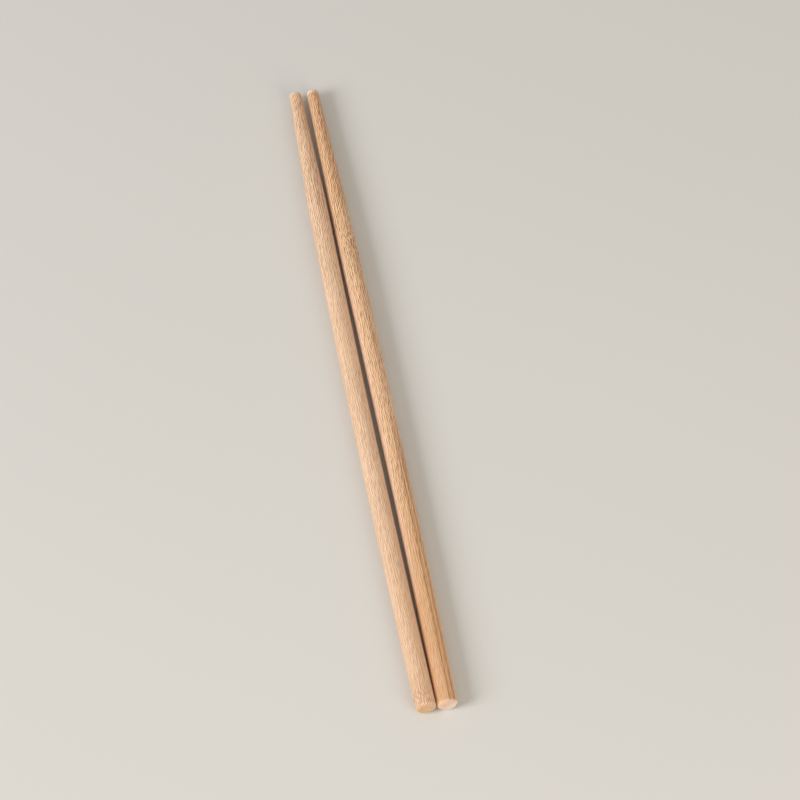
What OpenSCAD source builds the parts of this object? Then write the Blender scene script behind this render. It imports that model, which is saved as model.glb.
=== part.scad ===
// Pair of round bamboo chopsticks, lying side by side on a level surface at z = 0.
// The butts are at -Y, the tips are at +Y, and the origin is under the middle of the pair.

/* [Both sticks] */
// Length of a stick, along its axis
stick_len = 240; // [200:1:280]
// Diameter of the shank
shank_d = 6.5; // [5.5:0.1:8]
// Diameter at the tip, before its edge is rounded
tip_d = 4.1; // [3:0.1:5]
// Radius of the rounded edge at the tip
tip_round = 0.8; // [0.3:0.1:1.2]
// How far the sanded edge reaches over the butt
butt_edge = 0.9; // [0.3:0.1:1.5]

/* [Left stick] */
// Length of the taper, from the tip to the shoulder
left_taper_len = 49; // [35:1:70]
// How far the soft shoulder reaches to each side
left_blend = 8; // [2:1:20]
// How far the shank bows out between its ends
left_bow = 0.6; // [0.1:0.05:0.8]

/* [Right stick] */
// Length of the taper, from the tip to the shoulder
right_taper_len = 68; // [50:1:90]
// How far the soft shoulder reaches to each side
right_blend = 16; // [2:1:30]
// How far the shank bows out between its ends
right_bow = 0.35; // [0.1:0.05:0.8]

/* [Pair] */
// Clearance between the butts, where the sticks lie against each other
butt_gap = 0.1; // [0.05:0.05:0.5]
// Clearance between the sticks, level with their shoulders
shoulder_gap = 0.5; // [0.2:0.1:2]

/* [Hidden] */

shank_r = shank_d / 2;
tip_r = tip_d / 2;
// Depth of a sanded edge's centre, in reaches of that edge: at 1 it would be a true quarter round
edge_depth = 1.25;
// Steps in a full turn, along a blended shoulder, round a rounded edge and along a bowed shank
round_steps = 96;
blend_steps = 12;
edge_steps = 8;
bow_steps = 24;

// Points along an arc, from one angle to another
function arc(centre, r, from, to, steps) =
    [for (i = [0:steps])
        let (a = from + (to - from) * i / steps)
        centre + r * [cos(a), sin(a)]];

// Half outline of the tapered end: radius against distance from where the shank ends
function taper_outline(taper_len, blend) =
    let (
        taper_deg = atan((shank_r - tip_r) / taper_len),
        blend_r = blend / tan(taper_deg / 2),
        tip_y = blend + taper_len,
        edge_x = tip_r + tip_round * (tan(taper_deg) - 1 / cos(taper_deg))
    )
    concat(
        [[0, 0]],
        arc([shank_r - blend_r, 0], blend_r, 0, taper_deg, blend_steps),
        arc([edge_x, tip_y - tip_round], tip_round, taper_deg, 90, edge_steps),
        [[0, tip_y]]
    );

// Section of what sanding takes off a square edge, with the corner of that edge at the origin
module sanded_off(reach) {
    depth = edge_depth * reach;
    translate([-depth, -depth])
        difference() {
            square(depth + reach);
            circle(r = norm([depth, depth - reach]), $fn = round_steps);
        }
}

// Turns a half outline about the stick's axis, and lays that axis along +Y
module turned() {
    rotate([-90, 0, 0])
        rotate_extrude($fn = round_steps)
            children();
}

// Tapered end, from where the shank ends at the origin to the tip
module tapered_end(taper_len, blend) {
    turned()
        polygon(taper_outline(taper_len, blend));
}

// Bowed shank, from the butt to the origin, where its axis runs along +Y
module bowed_shank(bow_r, bow_deg, butt) {
    difference() {
        mirror([0, 1, 0])
            translate([-bow_r, 0, 0])
                rotate_extrude(angle = bow_deg, $fn = bow_steps * 360 / bow_deg)
                    translate([bow_r, 0])
                        circle(r = shank_r, $fn = round_steps);
        translate(butt)
            rotate(-bow_deg)
                turned()
                    mirror([0, 1])
                        translate([shank_r, 0])
                            sanded_off(butt_edge);
    }
}

// The right-hand stick of a pair, in its place and bowing out to the right
module stick(taper_len, blend, bow) {
    shank_len = stick_len - taper_len - blend;
    bow_r = (pow(shank_len / 2, 2) + pow(bow, 2)) / (2 * bow);
    bow_deg = 2 * asin(shank_len / 2 / bow_r);
    butt = bow_r * [cos(bow_deg) - 1, -sin(bow_deg)];
    to_shoulder = [0, blend] - butt;
    drift = (shoulder_gap - butt_gap) / 2;
    toe_in_deg = atan2(to_shoulder.x, to_shoulder.y) - asin(drift / norm(to_shoulder));
    translate([(shank_d + butt_gap) / 2, -stick_len / 2, shank_r])
        rotate(toe_in_deg)
            translate(-butt) {
                tapered_end(taper_len, blend);
                bowed_shank(bow_r, bow_deg, butt);
            }
}

module left_chopstick() {
    color("#E6C8A2")
        mirror([1, 0, 0])
            stick(left_taper_len, left_blend, left_bow);
}

module right_chopstick() {
    color("#DDB684")
        stick(right_taper_len, right_blend, right_bow);
}

left_chopstick();
right_chopstick();
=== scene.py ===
import math

import bpy
import numpy as np
from mathutils import Matrix, Vector


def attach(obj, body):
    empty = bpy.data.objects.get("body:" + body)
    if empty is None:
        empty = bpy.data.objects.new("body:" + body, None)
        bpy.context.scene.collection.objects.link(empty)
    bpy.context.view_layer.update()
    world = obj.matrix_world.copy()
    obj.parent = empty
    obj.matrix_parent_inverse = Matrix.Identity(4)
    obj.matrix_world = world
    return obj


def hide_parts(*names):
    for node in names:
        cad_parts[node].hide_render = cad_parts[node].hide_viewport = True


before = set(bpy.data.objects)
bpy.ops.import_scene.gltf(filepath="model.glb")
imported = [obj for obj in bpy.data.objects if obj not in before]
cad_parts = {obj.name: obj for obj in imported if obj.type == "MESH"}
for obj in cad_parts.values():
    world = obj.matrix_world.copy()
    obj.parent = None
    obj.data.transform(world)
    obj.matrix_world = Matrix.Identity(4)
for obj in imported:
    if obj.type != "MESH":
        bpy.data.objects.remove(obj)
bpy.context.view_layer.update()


# Left chopstick: one length of bamboo, turned round and sanded, bowed a little as it dried.
# An even shank runs from the butt to a shoulder, and a short straight taper from there to a blunt tip.
# The bamboo is pale, left raw, and cut so that a node of the culm falls just at the butt.

MM = 0.001
STICK_LEN = 240
SHANK_D = 6.5
TIP_D = 4.1
TIP_ROUND = 0.8
BUTT_EDGE = 0.9
BUTT_EDGE_DEPTH = 1.25 * BUTT_EDGE
BUTT_GAP = 0.1
SHOULDER_GAP = 0.5
LEFT_TAPER, LEFT_BLEND, LEFT_BOW = 49, 8, 0.6

# How finely the skin is drawn: mm between its rings of points, and points in a ring
RING_STEP = 0.6
AROUND = 192


def outline(taper_len, blend):
    """Half outline of a stick, as (distance from the butt, radius), from the butt's centre to the tip's."""
    butt_steps, butt_edge_steps, tip_edge_steps, tip_steps = 20, 11, 10, 12
    shank_r, tip_r = SHANK_D / 2, TIP_D / 2
    butt_face = [(0, r) for r in np.linspace(0, shank_r - BUTT_EDGE, butt_steps)]
    edge_r = math.hypot(BUTT_EDGE_DEPTH, BUTT_EDGE_DEPTH - BUTT_EDGE)
    skew = math.asin((BUTT_EDGE_DEPTH - BUTT_EDGE) / edge_r)
    butt_edge = [
        (BUTT_EDGE_DEPTH - edge_r * math.cos(a), shank_r - BUTT_EDGE_DEPTH + edge_r * math.sin(a))
        for a in np.linspace(skew, math.pi / 2 - skew, butt_edge_steps)[1:]
    ]
    taper = math.atan((shank_r - tip_r) / taper_len)
    blend_r = blend / math.tan(taper / 2)
    shank_end = STICK_LEN - taper_len - blend
    shank = [(s, shank_r) for s in np.arange(BUTT_EDGE + RING_STEP, shank_end, RING_STEP)]
    shoulder = [
        (shank_end + blend_r * math.sin(a), shank_r - blend_r * (1 - math.cos(a)))
        for a in np.linspace(0, taper, round(2 * blend / RING_STEP))
    ]
    round_s = STICK_LEN - TIP_ROUND
    round_r = tip_r + TIP_ROUND * (math.tan(taper) - 1 / math.cos(taper))
    tip_edge = [
        (round_s + TIP_ROUND * math.sin(a), round_r + TIP_ROUND * math.cos(a))
        for a in np.linspace(taper, math.pi / 2, tip_edge_steps)
    ]
    cone = np.linspace(shoulder[-1], tip_edge[0], round(taper_len / RING_STEP))[1:-1]
    tip_face = [(STICK_LEN, r) for r in np.linspace(round_r, 0, tip_steps)[1:]]
    return np.array(butt_face + butt_edge + shank + shoulder + list(cone) + tip_edge + tip_face)


def axis(s, side, taper_len, blend, bow):
    """Points on a stick's bowed axis, and its heading there, as the pair lies: side is -1 left, 1 right."""
    shank_len = STICK_LEN - taper_len - blend
    bow_r = (shank_len**2 / 4 + bow**2) / (2 * bow)
    turn = 2 * math.asin(shank_len / 2 / bow_r)
    butt = np.array([bow_r * (math.cos(turn) - 1), -bow_r * math.sin(turn)])
    to_shoulder = np.array([0, blend]) - butt
    drift = (SHOULDER_GAP - BUTT_GAP) / 2
    toe_in = math.atan2(*to_shoulder) - math.asin(drift / np.hypot(*to_shoulder))
    left_to_turn = turn * np.clip(1 - s / shank_len, 0, None)
    x = bow_r * (np.cos(left_to_turn) - 1) - butt[0]
    y = -bow_r * np.sin(left_to_turn) + np.clip(s - shank_len, 0, None) - butt[1]
    heading = left_to_turn - toe_in
    c, d = math.cos(toe_in), math.sin(toe_in)
    at = np.stack([(SHANK_D + BUTT_GAP) / 2 + c * x - d * y, d * x + c * y - STICK_LEN / 2], axis=-1)
    return at * (side, 1), heading * side


def skin_points(line):
    """Every point of a turned skin: its distance from the butt, radius, share of a turn, and normal.

    The normal is in the outline's plane. The last value is how far the point faces an end: 0 on an even
    shank, 1 on the sawn faces.
    """
    slope = np.gradient(line, axis=0)
    normal = np.stack([-slope[:, 1], slope[:, 0]], axis=-1)
    normal /= np.linalg.norm(normal, axis=1)[:, None]
    around = [1] + [AROUND] * (len(line) - 2) + [1]
    s, r = np.repeat(line, around, axis=0).T
    n = np.repeat(normal, around, axis=0)
    u = np.concatenate([[0], np.tile(np.arange(AROUND) / AROUND, len(line) - 2), [0]])
    return s, r, u, n, n[:, 0] ** 2


def open_grain(rng, s, r, u, first, last):
    """Fine grooves where a fibre has lifted out: 1 in the middle of a groove, 0 away from them all."""
    count, half_len, half_w, depth, most_slant = 260, (2, 7), (0.1, 0.2), (0.3, 1), 0.03
    groove = np.zeros(len(s))
    for _ in range(count):
        at_s, at_u = rng.uniform(first, last), rng.uniform()
        reach, width = rng.uniform(*half_len), rng.uniform(*half_w)
        deep, slant = rng.uniform(*depth), rng.uniform(-most_slant, most_slant)
        near = np.abs(s - at_s) < reach
        along = (s[near] - at_s) / reach
        across = ((u[near] - at_u + 0.5) % 1 - 0.5) * 2 * math.pi * r[near] - slant * (s[near] - at_s)
        groove[near] = np.maximum(groove[near], deep * np.exp(-((across / width) ** 2)) * (1 - along**2) ** 2)
    return groove


def soft_noise(rng, u, v, cells_u, cells_v):
    """Smooth random values from -1 to 1. u runs once around from 0 to 1, and v runs from 0 to 1."""
    table = rng.uniform(-1, 1, (cells_u, cells_v + 2))
    i, j = u * cells_u, v * cells_v
    i0, j0 = np.floor(i).astype(int), np.floor(j).astype(int)
    fi, fj = (t * t * (3 - 2 * t) for t in (i - i0, j - j0))
    near, far = table[i0 % cells_u], table[(i0 + 1) % cells_u]
    pick = np.arange(len(u))
    low = near[pick, j0] * (1 - fi) + far[pick, j0] * fi
    high = near[pick, j0 + 1] * (1 - fi) + far[pick, j0 + 1] * fi
    return low * (1 - fj) + high * fj


def sanding(seed, skin, first_groove):
    """What the sanding leaves: the open grain, and how far in mm each point of the skin is pressed in."""
    uneven_by, groove_by, last_groove = 0.02, 0.03, 237
    rng = np.random.default_rng(seed)
    s, r, u, _, end = skin
    groove = open_grain(rng, s, r, u, first_groove, last_groove) * (1 - end)
    uneven = 1 + soft_noise(rng, u, s / STICK_LEN, cells_u=5, cells_v=9)
    return groove, uneven_by * uneven * (1 - end) + groove_by * groove


def strip_map(line):
    """Flat layout of a skin, for each corner of its faces: six strips in two rows, with the round ends beside.

    It is true to size on the shank and a little wide on the taper, and it fills most of a square picture.
    """
    strip_len, in_a_row, strip_w, gap, picture_w = 40, 3, math.pi * SHANK_D, 1.5, 88
    ends_x, butt_y, tip_y = in_a_row * (strip_w + gap) + 6, 8, 20
    hair = 1e-6
    run = np.concatenate([[0], np.cumsum(np.linalg.norm(np.diff(line, axis=0), axis=1))])
    s = line[:, 0]

    def spots(band, ring, turn):
        """Where a ring's points lie, as corners of one band of faces."""
        if BUTT_EDGE - hair <= s[band] <= STICK_LEN - TIP_ROUND:
            strip = min(int(s[band] // strip_len), STICK_LEN // strip_len - 1)
            x = gap + strip % in_a_row * (strip_w + gap)
            y = gap + strip // in_a_row * (strip_len + 2 * gap) - strip * strip_len
            return np.stack([x + turn * strip_w, np.full(len(turn), y + s[ring])], axis=-1)
        by_butt = s[band] < STICK_LEN / 2
        out = run[ring] if by_butt else run[-1] - run[ring]
        middle_y = butt_y if by_butt else tip_y
        angle = 2 * math.pi * turn
        return np.stack([ends_x + out * np.cos(angle), middle_y + out * np.sin(angle)], axis=-1)

    turn, after = np.arange(AROUND) / AROUND, np.arange(1, AROUND + 1) / AROUND
    last = len(line) - 2
    bands = [(spots(0, 0, turn), spots(0, 1, turn), spots(0, 1, after))]
    for i in range(1, last):
        bands.append((spots(i, i, turn), spots(i, i + 1, turn), spots(i, i + 1, after), spots(i, i, after)))
    bands.append((spots(last, last + 1, turn), spots(last, last, after), spots(last, last, turn)))
    return np.concatenate([np.stack(band, axis=1).reshape(-1, 2) for band in bands]) / picture_w


# The fibres' dashes: mm apart around the stick and along it. Each row lies half a spacing on from the next.
DASH_APART = (0.68, 2.8)
ROW_STAGGER = DASH_APART[1] / DASH_APART[0] / 2


def lay_stick(name, line, shape, skin, dip, marks):
    """One stick as a mesh, where it lies in the pair: its turned skin, pressed in by dip, with its marks."""
    s, r, u, n, _ = skin
    s, r = s - n[:, 0] * dip, r - n[:, 1] * dip
    at, heading = axis(s, *shape)
    a, c = r * np.cos(2 * math.pi * u), r * np.sin(2 * math.pi * u)
    x, y = at[:, 0] + a * np.cos(heading), at[:, 1] - a * np.sin(heading)
    points = np.stack([x, y, SHANK_D / 2 + c], axis=-1)
    k = np.arange(AROUND)
    after = (k + 1) % AROUND
    rings = len(line) - 2
    last = 1 + rings * AROUND
    faces = np.stack([k * 0, 1 + k, 1 + after], axis=-1).tolist()
    for i in range(rings - 1):
        low, high = 1 + i * AROUND, 1 + (i + 1) * AROUND
        faces += np.stack([low + k, high + k, high + after, low + after], axis=-1).tolist()
    top = last - AROUND
    faces += np.stack([k * 0 + last, top + after, top + k], axis=-1).tolist()
    mesh = bpy.data.meshes.new(name)
    mesh.from_pydata((points * MM).tolist(), [], faces)
    mesh.shade_smooth()
    mesh.uv_layers.new(name="OFBake").data.foreach_set("uv", strip_map(line).astype(np.float32).ravel())
    # Where each point is in the wood, on the skin laid flat, and among the skin's staggered rows of dashes
    around = r * np.arctan2(a, c)
    places = {"grain": (a, c, s), "skin": (around, s, 0 * s), "rows": (around, s + ROW_STAGGER * around, 0 * s)}
    for label, parts in places.items():
        values = np.stack(parts, axis=-1).astype(np.float32).ravel()
        mesh.attributes.new(label, "FLOAT_VECTOR", "POINT").data.foreach_set("vector", values)
    for label, values in marks.items():
        mesh.attributes.new(label, "FLOAT", "POINT").data.foreach_set("value", values.astype(np.float32))
    stick = bpy.data.objects.new(name, mesh)
    bpy.context.scene.collection.objects.link(stick)
    return stick


def linear(code):
    """An sRGB hex colour as linear red, green, blue and alpha."""
    parts = [int(code[i : i + 2], 16) / 255 for i in (1, 3, 5)]
    return [p / 12.92 if p <= 0.04045 else ((p + 0.055) / 1.055) ** 2.4 for p in parts] + [1]


def per_mm(*sizes):
    """Scales of a pattern from its real sizes in mm."""
    return [1 / size for size in sizes]


def add(tree, kind, links=(), values=(), **settings):
    """Adds a node to a material: its settings, its unlinked input values, and what its inputs come from."""
    node = tree.nodes.new("ShaderNode" + kind)
    for key, value in settings.items():
        setattr(node, key, value)
    for key, value in dict(values).items():
        node.inputs[key].default_value = value
    for key, source in dict(links).items():
        tree.links.new(source, node.inputs[key])
    return node


# Sockets of a Mix node that share their names with others: two colours in, one out, and two numbers in
COLOUR_A, COLOUR_B, COLOUR_OUT = 6, 7, 2
NUMBER_A, NUMBER_B = 2, 3


def turned_bamboo(name, tones, shift, lean, fleck):
    """Raw bamboo, turned and sanded: pale soft tissue with harder, browner fibres, cut into short fine dashes.

    It is matt, and a little fuzz from the sanding catches light at its edges. shift and lean give each stick
    its own run of fibres. fleck is how far apart the fibres lie at a node, in mm around the stick and along it.
    """
    material = bpy.data.materials.new(name)
    material.use_nodes = True
    tree = material.node_tree
    tree.nodes.clear()
    grain, skin, rows = (
        add(tree, "Attribute", attribute_name=label).outputs["Vector"] for label in ("grain", "skin", "rows")
    )
    mark = {
        label: add(tree, "Attribute", attribute_name=label).outputs["Fac"]
        for label in ("end", "groove", "knot", "bold", "lined", "wear_and_painted_light", "honey_and_painted_shade")
    }

    # The fibres wander slowly, by up to half a millimetre, and lean a little to the stick's axis.
    slow_at = add(tree, "Mapping", {"Vector": grain}, {"Location": shift, "Scale": per_mm(4, 4, 26)}).outputs[0]
    slow = add(tree, "TexNoise", {"Vector": slow_at}, {"Scale": 1, "Detail": 1}).outputs["Color"]
    slow = add(tree, "VectorMath", {0: slow}, {1: (0.5, 0.5, 0.5)}, operation="SUBTRACT").outputs[0]
    in_wood, on_skin, in_rows = (
        add(tree, "VectorMath", {0: slow, 2: place}, {1: wander}, operation="MULTIPLY_ADD").outputs[0]
        for place, wander in ((grain, (1.1, 1.1, 0)), (skin, (0.5, 0, 0)), (rows, (0.5, 0, 0)))
    )
    along = add(tree, "Mapping", {"Vector": in_wood}, {"Location": shift, "Rotation": lean}).outputs[0]

    def dashes(place, slant, offset, apart, half, scatter):
        """Dashes of cut fibre, some fainter than others.

        apart and half are their distances and half sizes in mm, around the stick and along it.
        With no scatter they lie in even rows.
        """
        core, edge, faintest = 0.3, 1.5, 0.35
        turned = add(tree, "Mapping", {"Vector": place},
                     {"Location": offset, "Rotation": (0, 0, slant)}).outputs[0]
        cell = add(tree, "Mapping", {"Vector": turned}, {"Scale": per_mm(*apart, 1)}).outputs[0]
        middle = add(tree, "TexVoronoi", {"Vector": cell}, {"Scale": 1, "Randomness": scatter},
                     voronoi_dimensions="2D", feature="F1")
        away = add(tree, "VectorMath", {0: cell, 1: middle.outputs["Position"]},
                   operation="SUBTRACT").outputs[0]
        in_halves = (apart[0] / half[0], apart[1] / half[1], 0)
        away = add(tree, "VectorMath", {0: away}, {1: in_halves}, operation="MULTIPLY").outputs[0]
        away = add(tree, "VectorMath", {0: away}, operation="LENGTH").outputs["Value"]
        inside = add(tree, "MapRange", {"Value": away},
                     {"From Min": core, "From Max": edge, "To Min": 1, "To Max": 0},
                     interpolation_type="SMOOTHSTEP").outputs[0]
        strength = add(tree, "MapRange", {"Value": middle.outputs["Color"]}, {"To Min": faintest}).outputs[0]
        return add(tree, "Math", {0: inside, 1: strength}, operation="MULTIPLY").outputs[0]

    # Brown dashes, about 0.2 mm wide and 2 mm long, with pale ones between them, and thin lines 16 mm long.
    # The pale dashes are painted glints of sanded fibres. At a node the dashes cross.
    # Real fibres are finer: these are drawn as coarse as they need to be to show.
    straight = dashes(in_rows, slant=-0.03, offset=shift, apart=DASH_APART, half=(0.12, 1.3), scatter=0.6)
    half_over = (shift[0] + DASH_APART[0] / 2, shift[1], 0)
    painted_glints = dashes(in_rows, slant=-0.03, offset=half_over, apart=DASH_APART, half=(0.15, 1.3), scatter=0.6)
    fleck_half = (0.14 * fleck[0], 0.38 * fleck[1])
    one_way, other_way = (
        dashes(on_skin, slant, offset=shift, apart=fleck, half=fleck_half, scatter=1) for slant in (-0.26, 0.12)
    )
    crossed = add(tree, "Math", {0: one_way, 1: other_way}, operation="MAXIMUM").outputs[0]
    brown = add(tree, "Mix", {"Factor": mark["knot"], NUMBER_A: straight, NUMBER_B: crossed}).outputs[0]
    elsewhere = (shift[1], shift[0], 0)
    line = dashes(on_skin, slant=-0.02, offset=elsewhere, apart=(0.8, 22), half=(0.13, 9), scatter=0.8)
    dark, light, lined = (
        add(tree, "Math", {0: pattern, 1: mark[label]}, operation="MULTIPLY").outputs[0]
        for pattern, label in ((brown, "bold"), (painted_glints, "bold"), (line, "lined"))
    )

    # Fine fibres 0.2 mm wide and 4 mm long, bands of tone 1.8 by 60 mm, and rosy patches 1.5 by 6 mm
    fine_at, band_at, patch_at = (
        add(tree, "Mapping", {"Vector": along}, {"Scale": per_mm(width, width, length)}).outputs[0]
        for width, length in ((0.2, 4), (1.8, 60), (1.5, 6))
    )
    fine = add(tree, "TexNoise", {"Vector": fine_at},
               {"Scale": 1, "Detail": 2, "Roughness": 0.6}).outputs["Fac"]
    band = add(tree, "TexNoise", {"Vector": band_at}, {"Scale": 1, "Detail": 2}).outputs["Fac"]
    patch = add(tree, "TexNoise", {"Vector": patch_at}, {"Scale": 1, "Detail": 1}).outputs["Fac"]
    banded, rosy, fine_tone, rough = (
        add(tree, "MapRange", {"Value": noise},
            {"From Min": low, "From Max": high, "To Min": least, "To Max": most}).outputs[0]
        for noise, low, high, least, most in (
            (band, 0.35, 0.68, 0, 1), (patch, 0.4, 0.7, 0, 0.6),
            (fine, 0.3, 0.7, 0.87, 1.13), (fine, 0.3, 0.7, 0.64, 0.5),
        )
    )

    # The turned skin: soft tissue in bands, rosy patches, honey tone and painted shade, then pale dashes as
    # painted glints, brown ones and lines
    body = add(tree, "Mix", {"Factor": banded},
               {COLOUR_A: linear(tones["soft"]), COLOUR_B: linear(tones["band"])},
               data_type="RGBA").outputs[COLOUR_OUT]
    over = (rosy, "rose"), (mark["honey_and_painted_shade"], "honey_and_painted_shade"), (light, "pale"), (dark, "fibre"), (lined, "fibre")
    for amount, tone in over:
        body = add(tree, "Mix", {"Factor": amount, COLOUR_A: body}, {COLOUR_B: linear(tones[tone])},
                   data_type="RGBA").outputs[COLOUR_OUT]
    body = add(tree, "VectorMath", {0: body, "Scale": fine_tone}, operation="SCALE").outputs[0]
    pore_share, vessel_share = 0.25, 0.6
    open_part = add(tree, "Math", {0: mark["groove"]}, {1: pore_share}, operation="MULTIPLY").outputs[0]
    body = add(tree, "Mix", {"Factor": open_part, COLOUR_A: body}, {COLOUR_B: linear(tones["pore"])},
               data_type="RGBA").outputs[COLOUR_OUT]

    # The sawn and sanded ends: bundles cut across show as dots 0.3 mm wide, 0.7 mm apart, with darker vessels.
    dot_apart = 0.7
    dot_at = add(tree, "Mapping", {"Vector": along}, {"Scale": per_mm(dot_apart, dot_apart, 1)}).outputs[0]
    dot = add(tree, "TexVoronoi", {"Vector": dot_at}, {"Scale": 1}, voronoi_dimensions="2D", feature="F1")
    in_bundle, in_vessel = (
        add(tree, "MapRange", {"Value": dot.outputs["Distance"]},
            {"From Min": core, "From Max": edge, "To Min": 1, "To Max": 0},
            interpolation_type="SMOOTHSTEP").outputs[0]
        for core, edge in ((0.12, 0.34), (0.04, 0.11))
    )
    sawn = add(tree, "Mix", {"Factor": in_bundle},
               {COLOUR_A: linear(tones["end"]), COLOUR_B: linear(tones["dot"])},
               data_type="RGBA").outputs[COLOUR_OUT]
    vessel_part = add(tree, "Math", {0: in_vessel}, {1: vessel_share}, operation="MULTIPLY").outputs[0]
    sawn = add(tree, "Mix", {"Factor": vessel_part, COLOUR_A: sawn}, {COLOUR_B: linear(tones["pore"])},
               data_type="RGBA").outputs[COLOUR_OUT]
    sawn = add(tree, "VectorMath", {0: sawn, "Scale": fine_tone}, operation="SCALE").outputs[0]
    colour = add(tree, "Mix", {"Factor": mark["end"], COLOUR_A: body, COLOUR_B: sawn},
                 data_type="RGBA").outputs[COLOUR_OUT]
    colour = add(tree, "Mix", {"Factor": mark["wear_and_painted_light"], COLOUR_A: colour}, {COLOUR_B: linear(tones["rim"])},
                 data_type="RGBA").outputs[COLOUR_OUT]

    # Cut fibres lie about 0.02 mm lower than the soft tissue around them.
    height = add(tree, "Math", {0: fine, 1: dark}, operation="SUBTRACT").outputs[0]
    bump = add(tree, "Bump", {"Height": height}, {"Strength": 0.5, "Distance": 0.02 * MM}).outputs[0]
    shader = add(tree, "BsdfPrincipled", {"Base Color": colour, "Roughness": rough, "Normal": bump},
                 {"IOR": 1.5, "Sheen Weight": 0.2, "Sheen Roughness": 0.4})
    add(tree, "OutputMaterial", {"Surface": shader.outputs[0]})
    return material


left_line = outline(LEFT_TAPER, LEFT_BLEND)
left_skin = skin_points(left_line)
left_groove, left_dip = sanding(seed=3, skin=left_skin, first_groove=4)

# Marks on the skin are strengths, from 0 to 1 or a little more. s is the distance from the butt in mm, end is
# 1 on the sawn faces, rightward is 1 on the stick's right and -1 on its left, and below is 1 underneath.
MOST_PALE = 0.8
NEAR_TIP = 200
s, _, u, _, end = left_skin
rightward, below = np.cos(2 * math.pi * u), -np.sin(2 * math.pi * u)

# Fibres cross at the node, 3 mm from the butt. They show most there and on the taper, which cuts across them.
# Fewer dark dashes are drawn on the right side by the butt, which paints that side lighter: painted light.
LEFT_NODE, LEFT_NODE_REACH = 3, 2.4
knot = np.exp(-(((s - LEFT_NODE) / LEFT_NODE_REACH) ** 2))
painted_light_right = np.clip(0.2 + rightward, 0, 1) * np.interp(s, [2, 6, 25, 45], [0.5, 1, 1, 0])
bold = np.interp(s, [0, 4, 7, 14, 150, 190, 228, 240], [1.25, 1.1, 0.68, 0.58, 0.68, 1.15, 1.12, 1])
bold *= 1 - 0.65 * painted_light_right
lined = np.interp(s, [0, 20, 150, 190], [0.1, 0.25, 0.3, 0.5])

# The round of the tip and the edge of the butt are worn pale. The node's right side is painted paler: painted
# light.
LEFT_WORN_FROM = 238.2
worn_tip = 0.5 * (s - LEFT_WORN_FROM) * (1 - 0.8 * end**4)
shank_wear_and_painted_light = 4 * end * (1 - end) * (0.1 + 0.35 * below + 0.25 * rightward)
shank_wear_and_painted_light += 0.15 * knot * np.clip(rightward, 0, 1)

# Honey tone lies on the left side by the butt. On the right side of the taper it is painted shade.
honey_and_painted_shade = np.interp(s, [0, 7, 12, 40, 90], [0.35, 0.35, 0.15, 0.12, 0])
honey_and_painted_shade *= 1 - 0.6 * np.clip(0.3 + rightward, 0, 1)
# Painted shade on the taper's right side
honey_and_painted_shade += 0.45 * np.interp(s, [185, 230], [0, 1]) * np.clip(0.3 + 1.2 * rightward, 0, 1)

left = lay_stick("left_stick", left_line, (-1, LEFT_TAPER, LEFT_BLEND, LEFT_BOW), left_skin, left_dip, {
    "end": end, "groove": left_groove, "knot": knot, "bold": bold, "lined": lined, "honey_and_painted_shade": honey_and_painted_shade,
    "wear_and_painted_light": np.clip(np.where(s > NEAR_TIP, worn_tip, shank_wear_and_painted_light), 0, MOST_PALE),
})
left.data.materials.append(turned_bamboo(
    "pale turned bamboo",
    {"soft": "#ECCBAB", "band": "#E5C199", "rose": "#F0C6AD", "honey_and_painted_shade": "#C68F63", "fibre": "#90480F",
     "pale": "#FFE2C2", "pore": "#8A5A30", "end": "#E0BA90", "dot": "#A87444", "rim": "#F5E3CC"},
    shift=(0, 0, 0), lean=(0.03, 0.02, 0), fleck=(0.75, 1.6),
))
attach(left, "root")
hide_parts("left_chopstick")


# Right chopstick: the other stick of the pair, from nearer the skin of the culm, where the bundles crowd.
# It is turned in the same way, with a longer taper that runs softly into the shank.
# Its bamboo is warmer, with honey streaks by the butt, a node near the taper, and a freshly sawn pale end.

RIGHT_TAPER, RIGHT_BLEND, RIGHT_BOW = 68, 16, 0.35

right_line = outline(RIGHT_TAPER, RIGHT_BLEND)
right_skin = skin_points(right_line)
right_groove, right_dip = sanding(seed=8, skin=right_skin, first_groove=40)
s, r, u, _, end = right_skin
rightward, below = np.cos(2 * math.pi * u), -np.sin(2 * math.pi * u)
across, up = r * rightward, -r * below

# Fibres cross at the node, 174 mm from the butt and mostly on the right. By the butt they hardly show.
RIGHT_NODE, RIGHT_NODE_REACH = 174, 8
knot = np.exp(-(((s - RIGHT_NODE) / RIGHT_NODE_REACH) ** 2))
knot *= 0.35 + 0.65 * np.clip(0.5 + across / r.max(), 0, 1)
bold = np.interp(s, [0, 40, 90, 155, 168, 182, 196, 228, 240], [0.34, 0.48, 1.08, 1.12, 1.5, 1.5, 1.24, 1.2, 1])
lined = np.interp(s, [0, 50, 80, 165, 180, 240], [0.15, 0.2, 0.9, 0.9, 0.4, 0.6])
lined *= np.clip(0.5 + 0.3 * across, 0.25, 1)

# The round of the tip and the edge of the butt are worn pale, and the sawn butt pales to one side.
# The left flank, on the lit side, is painted paler: painted light.
RIGHT_WORN_FROM = 237.8
PAINTED_LIGHT_AT, PAINTED_LIGHT_W = -2.7, 0.6
worn_tip = 0.45 * (s - RIGHT_WORN_FROM) * (1 - 0.3 * rightward) * (1 - 0.8 * end**4)
shank_wear_and_painted_light = 4 * end * (1 - end) * (0.3 + 0.4 * below + 0.15 * across)
shank_wear_and_painted_light += np.clip(0.16 * (across - up) + 0.08, 0, 0.7) * end
painted_light_flank = np.exp(-(((across - PAINTED_LIGHT_AT) / PAINTED_LIGHT_W) ** 2))
shank_wear_and_painted_light += 0.22 * painted_light_flank * np.interp(s, [30, 50, 165, 185], [0, 1, 1, 0])

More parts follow.
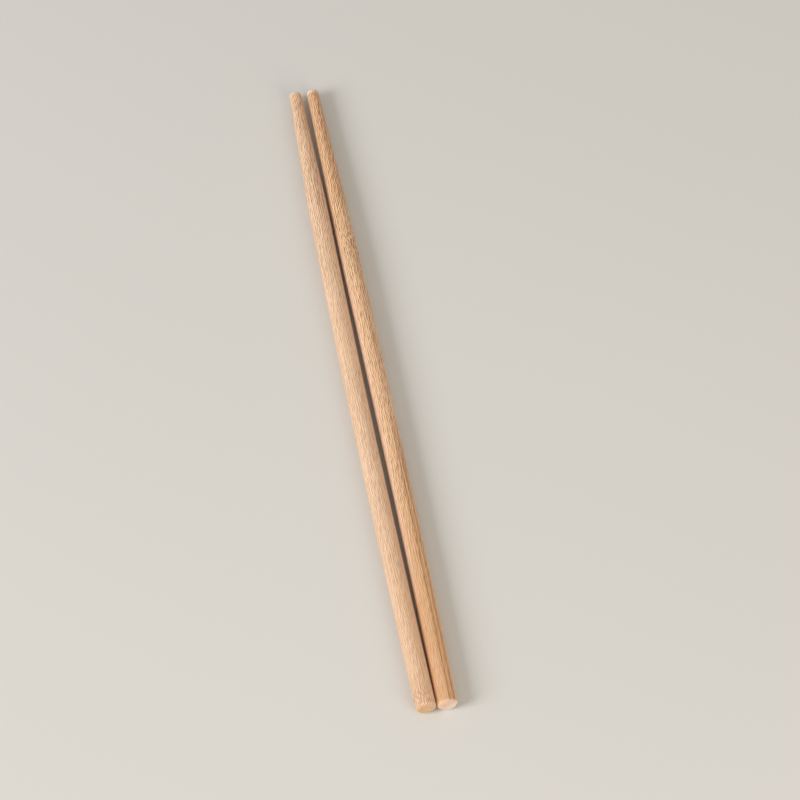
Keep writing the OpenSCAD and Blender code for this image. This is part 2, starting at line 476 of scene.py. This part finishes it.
# Honey tone lies thinly on the butt's half and in two streaks on its right. On the left side by the butt it
# lies deeper, as the left stick's painted shadow. It comes back on the taper, except on the left, as painted
# shade.
honey_and_painted_shade = 0.25 + 0.06 * np.clip(across, 0, 1)
for strength, streak_at, streak_w in ((0.85, 0.86, 0.24), (0.7, 2.26, 0.3)):
    honey_and_painted_shade += strength * np.exp(-(((across - streak_at) / streak_w) ** 2))
honey_and_painted_shade *= np.interp(s, [0, 75, 110], [1, 0.9, 0.2])
# Painted shade on the taper's right side
honey_and_painted_shade += 0.48 * np.interp(s, [184, 194], [0, 1]) * np.clip(0.8 + 0.8 * rightward, 0, 1)
# Painted shadow: the left stick's shadow on this stick's left side by the butt
honey_and_painted_shade += 0.25 * np.interp(s, [35, 80], [1, 0]) * np.clip(0.6 - rightward, 0, 1) * (1 - end)

right = lay_stick("right_stick", right_line, (1, RIGHT_TAPER, RIGHT_BLEND, RIGHT_BOW), right_skin, right_dip, {
    "end": end, "groove": right_groove, "knot": knot, "bold": bold, "lined": lined,
    "honey_and_painted_shade": np.clip(honey_and_painted_shade, 0, 1), "wear_and_painted_light": np.clip(np.where(s > NEAR_TIP, worn_tip, shank_wear_and_painted_light), 0, MOST_PALE),
})
right.data.materials.append(turned_bamboo(
    "honey turned bamboo",
    {"soft": "#F1CAA4", "band": "#E8BE8C", "rose": "#F4C2A2", "honey_and_painted_shade": "#BE834A", "fibre": "#7E380A",
     "pale": "#FFDFB6", "pore": "#7A4A22", "end": "#E8C9B0", "dot": "#DAB394", "rim": "#FAEAE2"},
    shift=(13, 7, 31), lean=(0.025, 0.015, 0), fleck=(0.95, 2.6),
))
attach(right, "root")
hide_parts("right_chopstick")


# Studio: the sticks lie on a wide sheet of matt grey paper, which is pale and has no gloss.
# A large soft lamp on the left gives light and shade, a small warm one in front opens the shade,
# and the room around gives a low, slightly warm light from all sides.

FLOOR_REACH = 3
floor_corners = [(x * FLOOR_REACH, y * FLOOR_REACH, 0) for x, y in ((-1, -1), (1, -1), (1, 1), (-1, 1))]
floor_mesh = bpy.data.meshes.new("floor")
floor_mesh.from_pydata(floor_corners, [], [(0, 1, 2, 3)])
floor = bpy.data.objects.new("floor", floor_mesh)
bpy.context.scene.collection.objects.link(floor)
paper = bpy.data.materials.new("matt grey paper")
paper.use_nodes = True
paper_inputs = paper.node_tree.nodes["Principled BSDF"].inputs
paper_inputs["Base Color"].default_value = linear("#DCDCDA")
paper_inputs["Roughness"].default_value = 0.9
floor_mesh.materials.append(paper)

room = bpy.data.worlds.new("studio")
bpy.context.scene.world = room
room.use_nodes = True
room_inputs = room.node_tree.nodes["Background"].inputs
room_inputs["Color"].default_value = (1, 0.945, 0.87, 1)
room_inputs["Strength"].default_value = 0.48


def softbox(name, at, size, watts, tint):
    """A square soft light that faces the middle of the pair."""
    lamp = bpy.data.lights.new(name, "AREA")
    lamp.size, lamp.energy, lamp.color = size, watts, tint
    box = bpy.data.objects.new(name, lamp)
    box.location = at
    box.rotation_euler = (-Vector(at)).to_track_quat("-Z", "Y").to_euler()
    bpy.context.scene.collection.objects.link(box)


softbox("key", at=(-1.5, -0.42, 0.9), size=0.82, watts=21.4, tint=(1, 1, 1))
softbox("front", at=(0.4, -0.8, 0.5), size=0.6, watts=3.2, tint=(1, 0.88, 0.72))

# The camera looks from the photograph's angle, 57 degrees above the floor and 10 degrees round from the butts.
# It is turned a little so that the pair's middle falls on MIDDLE_PX, from the picture's top left corner.
ELEVATION, ROUND = math.radians(57), math.radians(10.33)
DISTANCE, FOCAL_PX, IMAGE_PX = 1.2, 3712, 800
MIDDLE_PX = (366.7, 384.1)
level = math.cos(ELEVATION)
to_pair = Vector((math.sin(ROUND) * level, math.cos(ROUND) * level, -math.sin(ELEVATION)))
picture_right = Vector((math.cos(ROUND), -math.sin(ROUND), 0))
picture_up = picture_right.cross(to_pair)
off_right, off_down = ((IMAGE_PX / 2 - p) / FOCAL_PX for p in MIDDLE_PX)
ahead = (to_pair + picture_right * off_right - picture_up * off_down).normalized()
picture_right = (picture_right - ahead * picture_right.dot(ahead)).normalized()
picture_up = picture_right.cross(ahead)
lens = bpy.data.cameras.new("camera")
lens.lens = lens.sensor_width * FOCAL_PX / IMAGE_PX
camera = bpy.data.objects.new("camera", lens)
camera.location = Vector((0, 0, SHANK_D / 2 * MM)) - to_pair * DISTANCE
camera.rotation_euler = Matrix((picture_right, picture_up, -ahead)).transposed().to_euler()
bpy.context.scene.collection.objects.link(camera)
bpy.context.scene.camera = camera
bpy.context.scene.view_settings.view_transform = "Standard"
